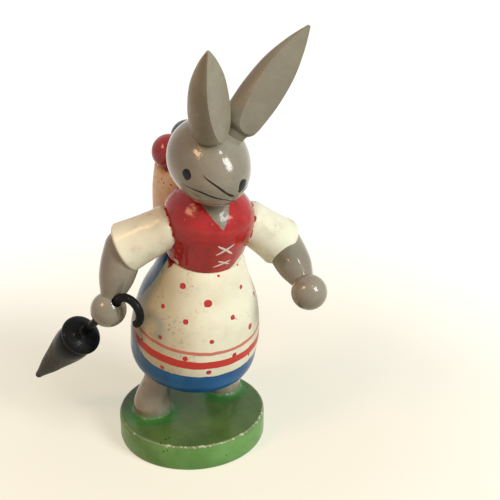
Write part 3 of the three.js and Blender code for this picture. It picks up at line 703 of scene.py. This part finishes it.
# Head: an egg-shaped ball with its narrow end forward for the nose, painted grey and varnished.
# It is glued on a dowel in the neck, turned a little to the side and tipped over.
HEAD_RADIUS = 7.06
HEAD_BACK = 7.76
HEAD_NOSE = 9.85
BLACK = (0.006, 0.0065, 0.007), (0.014, 0.0145, 0.015)
BLACK_SPECK = (0.07, 0.065, 0.06)
STROKE_BROWN = (0.012, 0.009, 0.006), (0.045, 0.027, 0.014)
EYE = ((-6.44, -0.54, 3.95), (-5.69, -1.41, 5.49))
NOSE_DAB = ((1.72, 2.95, 8.6), (2.1, 1.0, 9.3))
NOSE_LOBE = ((1.25, 1.3, 9.5), (2.2, 0.95, 9.3))
NOSE_STROKE = (
    (-4.99, 1.04, 6.81), (-4.45, 0.87, 7.55), (-3.56, 0.8, 8.43), (-2.54, 0.69, 9.14),
    (-1.3, 0.37, 9.67), (-0.26, 0.14, 9.84), (0.8, 0.02, 9.79),
)
MOUTH_STROKE = (
    (-5.55, -3.3, 3.98), (-5.12, -2.81, 5.52), (-4.58, -2.29, 6.78), (-3.88, -1.85, 7.81),
    (-2.97, -1.62, 8.64), (-1.95, -1.39, 9.26), (-0.93, -1.23, 9.61), (0.53, -1.0, 9.72),
)
SNOUT_STROKE = ((-0.5, 0.13, 9.83), (0.95, -0.05, 9.77))
head_at = place((0.130, -12.014, 62.717), (0.0635, -0.9085, -0.4131), (0.9131, 0.2200, -0.3433))


def arc(radius, height, start, stop, turn_by):
    """Part of a round outline, between two angles in degrees"""
    angles = [math.radians(a) for a in range(start, stop, turn_by)]
    return [(radius * math.cos(a), height * math.sin(a)) for a in angles]


def black_enamel(name, where, varnish=0.15, shine=0.1):
    """Black enamel, with the odd speck of dust in it"""
    paint = tin(name)
    spot = spot_on(paint, where)
    colour = dirt(paint, spot, two_tones(paint, spot, 0.3, *BLACK), 0.8, 0.6, BLACK_SPECK)
    return enamel(paint, spot, colour, 0.17, 0.06, varnish, shine)


head_outline = [(0, -HEAD_BACK)] + arc(HEAD_RADIUS, HEAD_BACK, -87, 0, 3)
head_outline += arc(HEAD_RADIUS, HEAD_NOSE, 0, 90, 3) + [(0, HEAD_NOSE)]
head = turn_on_lathe("painted_head", head_outline, 120)
put(head, head_at, "head", grey_enamel("head_grey", head_at, 0.2, 0.65, 0.09))

near = surface_of(head)
face_black = black_enamel("face_black", head_at)
this_cheek = Matrix.Identity(3)
other_cheek = Matrix.Diagonal((-1, 1, 1))
eyes = [mark(near, [head_at @ (cheek @ Vector(at)) for at in EYE], (1.95, 1.95), 0.07, 0.015, turn)
        for cheek, turn in ((this_cheek, 0.9), (other_cheek, 2.0))]
put_marks("painted_eyes", eyes, face_black)
nose = [mark(near, [head_at @ Vector(at) for at in NOSE_DAB], (2.1, 2.1), 0.07, 0.03, 0.4),
        mark(near, [head_at @ Vector(at) for at in NOSE_LOBE], (0.9, 0.9), 0.065, 0.03, 1.4)]
put_marks("painted_nose", nose, face_black)
brown_black = tin("stroke_brown")
spot = spot_on(brown_black, head_at)
enamel(brown_black, spot, two_tones(brown_black, spot, 1.2, *STROKE_BROWN, 2), 0.25, 0.04, 0.0)
strokes = [mark(near, [head_at @ (cheek @ Vector(at)) for at in path], widths, thick)
           for cheek, path, widths, thick in (
    (this_cheek, NOSE_STROKE, (0.16, 0.27, 0.33, 0.38, 0.42, 0.48, 0.46), 0.03),
    (this_cheek, MOUTH_STROKE, (0.16, 0.28, 0.34, 0.37, 0.38, 0.38, 0.3), 0.03),
    (other_cheek, NOSE_STROKE[:4], (0.16, 0.26, 0.3), 0.03),
    (other_cheek, MOUTH_STROKE, (0.16, 0.26, 0.3, 0.32, 0.34, 0.36, 0.3), 0.03),
    (this_cheek, SNOUT_STROKE, (0.5, 0.5), 0.045),
)]
put_marks("muzzle_strokes", strokes, brown_black)

# Ears: two turned spindles, each sanded flat on one side and glued into the head by a peg. They
# are grey like the head, but duller.
EAR_LENGTH = 21.3
EAR_RADIUS = 3.6
EAR_WIDEST_AT = 7.5
EAR_FLAT_OFFSET = 1.9
EAR_ARRIS = 0.22
EAR_ARRIS_ANGLE = 28
ear_outline = [(0, -1.2), (2.2, -1.2)] + smooth(
    [(2.4, 0), (EAR_RADIUS * 0.88, EAR_WIDEST_AT * 0.13), (EAR_RADIUS * 0.97, EAR_WIDEST_AT * 0.4),
     (EAR_RADIUS, EAR_WIDEST_AT), (EAR_RADIUS * 0.86, EAR_LENGTH * 0.6),
     (EAR_RADIUS * 0.5, EAR_LENGTH * 0.82), (0.3, EAR_LENGTH - 0.25)], 10) + [(0, EAR_LENGTH - 0.1)]
flat_tilt = math.atan2(EAR_FLAT_OFFSET, EAR_LENGTH - EAR_WIDEST_AT)

# The right ear is painted paler than the head and the left ear darker: painted light and painted shade
# on ears of one grey.
for side, pale, at, up_ear, flat_side in (
    ("right", 1.15, (-0.680, -15.907, 68.250), (-0.2283, -0.6081, 0.7603), (0.6943, -0.6492, -0.3108)),
    ("left", 0.95, (4.215, -14.860, 68.153), (0.6038, -0.0760, 0.7935), (0.0367, -0.9917, -0.1230)),
):
    ear_at = place(at, up_ear, flat_side)
    ear = turn_on_lathe(side + "_painted_ear", ear_outline, 96)
    saw_off(ear, (0.075, 0, EAR_LENGTH), (math.cos(flat_tilt), 0, math.sin(flat_tilt)), above=True)
    pick_up(ear)
    arris = ear.modifiers.new("arris", "BEVEL")
    arris.limit_method = "ANGLE"
    arris.angle_limit = math.radians(EAR_ARRIS_ANGLE)
    arris.width = EAR_ARRIS
    arris.segments = 3
    bpy.ops.object.modifier_apply(modifier="arris")
    put(ear, ear_at, side + "_ear",
        grey_enamel(side + "_ear_grey", ear_at, 0.4, 0.05, 0.05, pale))

# Arms: short tapered sleeves in cream, glued flat against the bodice, with grey forearms glued
# into their cuffs and a turned ball on each wrist for a hand. The right wrist and hand are drilled
# through for the umbrella's cane.
SLEEVE_LENGTH = 8.9
SLEEVE_INSET = 2.4
CUFF_RADIUS = 4.8
SHOULDER_RADIUS = 4.1
ELBOW_RADIUS = 3.6
FOREARM_LENGTH = 12.2
WRIST_RADIUS = 2.3
HAND_RADIUS = 3.37
HAND_TOP = FOREARM_LENGTH - HAND_RADIUS
CANE_HOLE = 1.0
CANE_HOLE_LENGTH = 12
SLEEVE_SPECK = (0.25, 0.19, 0.11)
SLEEVE_DUST = (0.45, 0.4, 0.27)
cane_at = place((-17.246, -4.273, 33.216), (0.3379, -0.6338, 0.6958), (0.4352, -0.5503, -0.7126))

forearm_outline = [(0, -ELBOW_RADIUS)] + arc(ELBOW_RADIUS, ELBOW_RADIUS, -84, 0, 6) + smooth(
    [(ELBOW_RADIUS, 0), (ELBOW_RADIUS, HAND_TOP * 0.35), (ELBOW_RADIUS * 0.9, HAND_TOP * 0.7),
     (WRIST_RADIUS, HAND_TOP + 0.25)], 10) + [(WRIST_RADIUS * 0.9, HAND_TOP + 1.2), (0, HAND_TOP + 1.2)]
hand_outline = [(0, -HAND_RADIUS)] + arc(HAND_RADIUS, HAND_RADIUS, -85, 90, 5) + [(0, HAND_RADIUS)]

for side, edge, cuff, along_sleeve, along_arm, arm_x, hand_mid in (
    ("right", 0.5, (-13.451, -3.479, 44.784), (-0.8129, 0.3599, -0.4579), (-0.3111, -0.0650, -0.9482),
     (0.9504, -0.0213, -0.3103), (-17.246, -4.273, 33.216)),
    ("left", 1.0, (16.629, -7.862, 42.561), (0.7837, 0.0220, -0.6208), (0.0500, -0.8759, -0.4799),
     (0.9987, 0.0438, 0.0240), (17.239, -18.548, 36.705)),
):
    sleeve_at = place(cuff, along_sleeve, (0, 0, 1))
    sleeve_paint = tin(side + "_sleeve_enamel")
    spot = spot_on(sleeve_paint, sleeve_at)
    colour = dirt(sleeve_paint, spot, soiled_cream(sleeve_paint, spot, 0.25), 1.0, 0.5, SLEEVE_SPECK)
    dust = between(sleeve_paint, grain(sleeve_paint, spot, 0.4, 3), 0.48, 0.75, 0, 0.4)
    colour = over(sleeve_paint, dust, colour, SLEEVE_DUST)
    from_bodice = sums(sleeve_paint, "ADD", measured(sleeve_paint, "from_bodice"),
                       ripple(sleeve_paint, spot, 0.8, 1.2, 1))
    colour = over(sleeve_paint, between(sleeve_paint, from_bodice, 0.16, 0.08), colour, RED_RUN)
    enamel(sleeve_paint, spot, colour, 0.3, 0.07, 0.2, 0.2)
    sleeve_outline = [(0, -SLEEVE_LENGTH - SLEEVE_INSET)] + smooth(
        [(SHOULDER_RADIUS * 0.6, -SLEEVE_LENGTH - SLEEVE_INSET),
         (SHOULDER_RADIUS * 0.95, -SLEEVE_LENGTH - SLEEVE_INSET * 0.45),
         (SHOULDER_RADIUS, -SLEEVE_LENGTH * 0.8),
         ((SHOULDER_RADIUS + CUFF_RADIUS) / 2, -SLEEVE_LENGTH * 0.35), (CUFF_RADIUS, -edge)], 7)
    sleeve_outline += round_edge(CUFF_RADIUS, 0, edge, 15) + [(0, 0)]
    sleeve = turn_on_lathe(side + "_painted_sleeve", sleeve_outline, 88)
    put(sleeve, sleeve_at, side + "_sleeve", sleeve_paint)
    measure_to(sleeve, "from_bodice", torso)
    arm_at = place(cuff, along_arm, arm_x)
    forearm = turn_on_lathe(side + "_painted_forearm", forearm_outline, 80)
    put(forearm, arm_at, side + "_forearm",
        grey_enamel(side + "_forearm_grey", arm_at, 0.2, 0.65, 0.07))
    hand_at = place(hand_mid, along_arm, arm_x)
    hand = turn_on_lathe(side + "_painted_hand", hand_outline, 80)
    put(hand, hand_at, side + "_hand",
        grey_enamel(side + "_hand_grey", hand_at, 0.2, 0.65, 0.06))
    if side == "right":
        clear_bench()
        bpy.ops.mesh.primitive_circle_add(vertices=40, radius=CANE_HOLE, fill_type="NGON",
                                          location=(0, 0, -CANE_HOLE_LENGTH / 2))
        drill = bpy.context.object
        bpy.ops.object.transform_apply(location=True)
        bpy.ops.object.mode_set(mode="EDIT")
        bpy.ops.mesh.select_all(action="SELECT")
        bpy.ops.mesh.extrude_region_move(TRANSFORM_OT_translate={"value": (0, 0, CANE_HOLE_LENGTH)})
        bpy.ops.mesh.select_all(action="SELECT")
        bpy.ops.mesh.normals_make_consistent(inside=False)
        bpy.ops.object.mode_set(mode="OBJECT")
        drill.matrix_world = cane_at
        bpy.ops.object.transform_apply(location=True, rotation=True, scale=True)
        for drilled in (hand, forearm):
            bore = drilled.modifiers.new("bore", "BOOLEAN")
            bore.operation = "DIFFERENCE"
            bore.solver = "EXACT"
            bore.object = drill
            pick_up(drilled)
            bpy.ops.object.modifier_apply(modifier="bore")
        pick_up(drill)
        bpy.ops.object.delete()

# Umbrella: a closed canopy turned in one piece, with a low domed cap behind it, and a bent cane
# with a crook, both in black enamel. The cane goes through a drilled hole in the right hand.
CANE_RADIUS = 0.8
CROOK_RADIUS = 2.75
CROOK_TURN = 190
CROOK_START = 4.4
CANOPY_TOP = 10.5
CANOPY_LENGTH = 22.9
CANOPY_RADIUS = 4.05
TIP_RADIUS = 0.68
CANE_IN_CANOPY = 3
CANOPY_BLACK = (0.005, 0.0055, 0.006)
DULL_BLACK = (0.034, 0.03, 0.024)
CANOPY_SPECK = (0.08, 0.075, 0.07)

canopy_at = cane_at @ Matrix.Translation((0, 0, -CANOPY_TOP))
canopy_outline = [(0, -CANOPY_LENGTH)] + smooth(
    [(TIP_RADIUS * 0.5, -CANOPY_LENGTH), (TIP_RADIUS, -CANOPY_LENGTH + 0.4),
     (0.98, -CANOPY_LENGTH + 2.2), (1.93, -16.3), (2.46, -13), (3.0, -9.9), (3.46, -7.2),
     (3.66, -5.2), (3.6, -3.7), (3.35, -2.7), (3.2, -2.1)], 8)
canopy_outline += smooth(
    [(3.3, -2.05), (CANOPY_RADIUS - 0.1, -1.9), (CANOPY_RADIUS, -1.55), (CANOPY_RADIUS - 0.1, -1.2),
     (CANOPY_RADIUS - 0.42, -0.88), (3.1, -0.6), (2.4, -0.3), (1.7, -0.1)], 6)
canopy_outline += smooth(
    [(1.4, -0.03), (1.08, 0.08), (CANE_RADIUS + 0.1, 0.3), (CANE_RADIUS - 0.05, 0.6)], 4) + [(0, 0.6)]
canopy_black = tin("canopy_black")
spot = spot_on(canopy_black, canopy_at)
z = along_axes(canopy_black, spot)[2]
below = sums(canopy_black, "ADD", z, ripple(canopy_black, spot, 0.5, 3.0))
dull = between(canopy_black, below, -5.0, -9.0)
colour = over(canopy_black, dull, CANOPY_BLACK, DULL_BLACK)
colour = dirt(canopy_black, spot, colour, 0.8, 0.7, CANOPY_SPECK)
on_cap = between(canopy_black, z, -1.1, -0.7)
canopy_gloss = sums(canopy_black, "ADD", sums(canopy_black, "MULTIPLY", on_cap, 0.18),
                    sums(canopy_black, "MULTIPLY_ADD", dull, 0.3, 0.2))
enamel(canopy_black, spot, colour, canopy_gloss, 0.06, 0.06, 0.08,
       pimples_on(canopy_black, spot, 1.5, (0.2, 0.04)), 0.08)
canopy = turn_on_lathe("painted_canopy", canopy_outline, 96)
put(canopy, canopy_at, "umbrella_canopy", canopy_black, "umbrella")

clear_bench()
bpy.ops.mesh.primitive_circle_add(vertices=24, radius=CANE_RADIUS, fill_type="NGON",
                                  location=(0, 0, -CANOPY_TOP - CANE_IN_CANOPY))
cane = bpy.context.object
cane.name = "painted_cane"
bpy.ops.object.transform_apply(location=True)
bpy.ops.object.mode_set(mode="EDIT")
bpy.ops.mesh.select_all(action="SELECT")
bpy.ops.mesh.extrude_region_move(
    TRANSFORM_OT_translate={"value": (0, 0, CANOPY_TOP + CANE_IN_CANOPY + CROOK_START)})
bpy.ops.mesh.spin(steps=40, angle=math.radians(CROOK_TURN), center=(CROOK_RADIUS, 0, CROOK_START),
                  axis=(0, -1, 0))
bpy.ops.mesh.select_all(action="SELECT")
bpy.ops.mesh.remove_doubles(threshold=0.0005)
bpy.ops.mesh.normals_make_consistent(inside=False)
bpy.ops.object.mode_set(mode="OBJECT")
cane_black = black_enamel("cane_black", cane_at, 0.05, 0.05)
put(cane, cane_at, "umbrella_cane", cane_black, "umbrella")

# Tub: a turned wooden tub on the figure's back, glued to the bodice, in peach paint with a few
# small brown marks below its rim. Three painted eggs are glued on its flat top.
TUB_HEIGHT = 11.7
TUB_RIM = 6.9
TUB_BELLY = 7.05
TUB_FOOT = 6.2
TUB_EDGE = 0.4
TUB_MARKS = 46
TUB_MARKS_AT = 10.1
EGG_RADIUS = 3.4
PEACH = (0.7, 0.46, 0.28), (0.84, 0.64, 0.44)
TUB_SPECK = (0.2, 0.09, 0.03)
TUB_DARK_RED_BY_BODICE = (0.2, 0.02, 0.014)
BROWN_DOT = (0.1, 0.03, 0.012), (0.2, 0.07, 0.03)
BODY_UP = (0.0262, -0.2435, 0.9695)
BODY_ACROSS = (0.9997, 0.0064, -0.0254)
tub_at = place((2.737, 8.834, 44.573), BODY_UP, BODY_ACROSS)
tub_outline = [(0, 0), (TUB_FOOT, 0)] + smooth(
    [(TUB_FOOT + TUB_EDGE, TUB_EDGE), (TUB_BELLY, TUB_HEIGHT * 0.55),
     (TUB_RIM, TUB_HEIGHT - TUB_EDGE)], 8)
tub_outline += [(TUB_RIM - TUB_EDGE * 0.3, TUB_HEIGHT - TUB_EDGE * 0.3),
                (TUB_RIM - TUB_EDGE, TUB_HEIGHT), (0, TUB_HEIGHT)]
tub_paint = tin("tub_enamel")
spot = spot_on(tub_paint, tub_at)
colour = two_tones(tub_paint, spot, 0.25, *PEACH, 4, 0.6)
colour = dirt(tub_paint, spot, colour, 1.1, 0.8, TUB_SPECK)
# The tub is painted a dark red close to the bodice.
from_bodice = sums(tub_paint, "ADD", measured(tub_paint, "from_bodice"),
                   ripple(tub_paint, spot, 0.6, 3.0, 3, 0.6))
colour = over(tub_paint, between(tub_paint, from_bodice, 0.9, 0.6), colour, TUB_DARK_RED_BY_BODICE)
enamel(tub_paint, spot, colour, 0.35, 0.05, 0.1, 0.25)
tub = turn_on_lathe("painted_tub", tub_outline, 112)
put(tub, tub_at, "tub", tub_paint)
measure_to(tub, "from_bodice", torso)
near = surface_of(tub)
brown_paint = tin("brown_dot_enamel")
spot = spot_on(brown_paint, tub_at)
colour = over(brown_paint, grain(brown_paint, spot, 1.2, 2), *BROWN_DOT)
enamel(brown_paint, spot, colour, 0.3, 0.03, 0.2)
tub_dots = []
for i in range(TUB_MARKS):
    a = math.tau * (i + 0.4 * math.sin(i * 2.3)) / TUB_MARKS
    at = (TUB_RIM * math.sin(a), -TUB_RIM * math.cos(a), TUB_MARKS_AT + 0.6 * math.sin(i * 1.9))
    tub_dots.append(round_mark(near, tub_at @ Vector(at), 0.13 + 0.04 * math.sin(i * 2.7),
                               thick=0.02, uneven=0.08, turn=i))
put_marks("tub_marks", tub_dots, brown_paint)

egg_outline = [(0, -EGG_RADIUS)] + arc(EGG_RADIUS, EGG_RADIUS, -85, 90, 5) + [(0, EGG_RADIUS)]
for egg_colour, at, dark, light in (
    ("red", (-1.462, 4.849, 59.415), (0.33, 0.016, 0.016), (0.46, 0.03, 0.026)),
    ("blue", (3.936, 9.684, 60.483), (0.01, 0.02, 0.04), (0.02, 0.035, 0.06)),
    ("yellow", (5.835, 2.325, 58.584), (0.6, 0.36, 0.04), (0.72, 0.48, 0.07)),
):
    egg_at = place(at, BODY_UP, BODY_ACROSS)
    egg_paint = tin(egg_colour + "_egg_enamel")
    spot = spot_on(egg_paint, egg_at)
    enamel(egg_paint, spot, two_tones(egg_paint, spot, 0.35, dark, light), 0.14, 0.1, 0.4, 0.15)
    egg = turn_on_lathe(egg_colour + "_painted_egg", egg_outline, 80)
    put(egg, egg_at, "egg_" + egg_colour, egg_paint)

pick_up(brushful)
bpy.ops.object.delete()

# Dowels: bare beech pegs that hold the waist, neck, shoulders and tub together. They are glued in
# before painting, so nothing of them shows.
BEECH = (0.60, 0.43, 0.25), (0.68, 0.52, 0.33)
bare_wood = tin("bare_beech")
spot = spot_on(bare_wood, body_at)
rings = step(bare_wood, "TexWave", {"Vector": spot, "Scale": 0.9, "Distortion": 2.5, "Detail": 2.0},
             bands_direction="X")
enamel(bare_wood, spot, over(bare_wood, rings, *BEECH), 0.6, 0.03, 0.0)
for peg in ("waist_peg", "neck_peg", "right_shoulder_peg", "left_shoulder_peg", "tub_peg"):
    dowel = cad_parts[peg]
    dowel.data.materials.clear()
    dowel.data.materials.append(bare_wood)
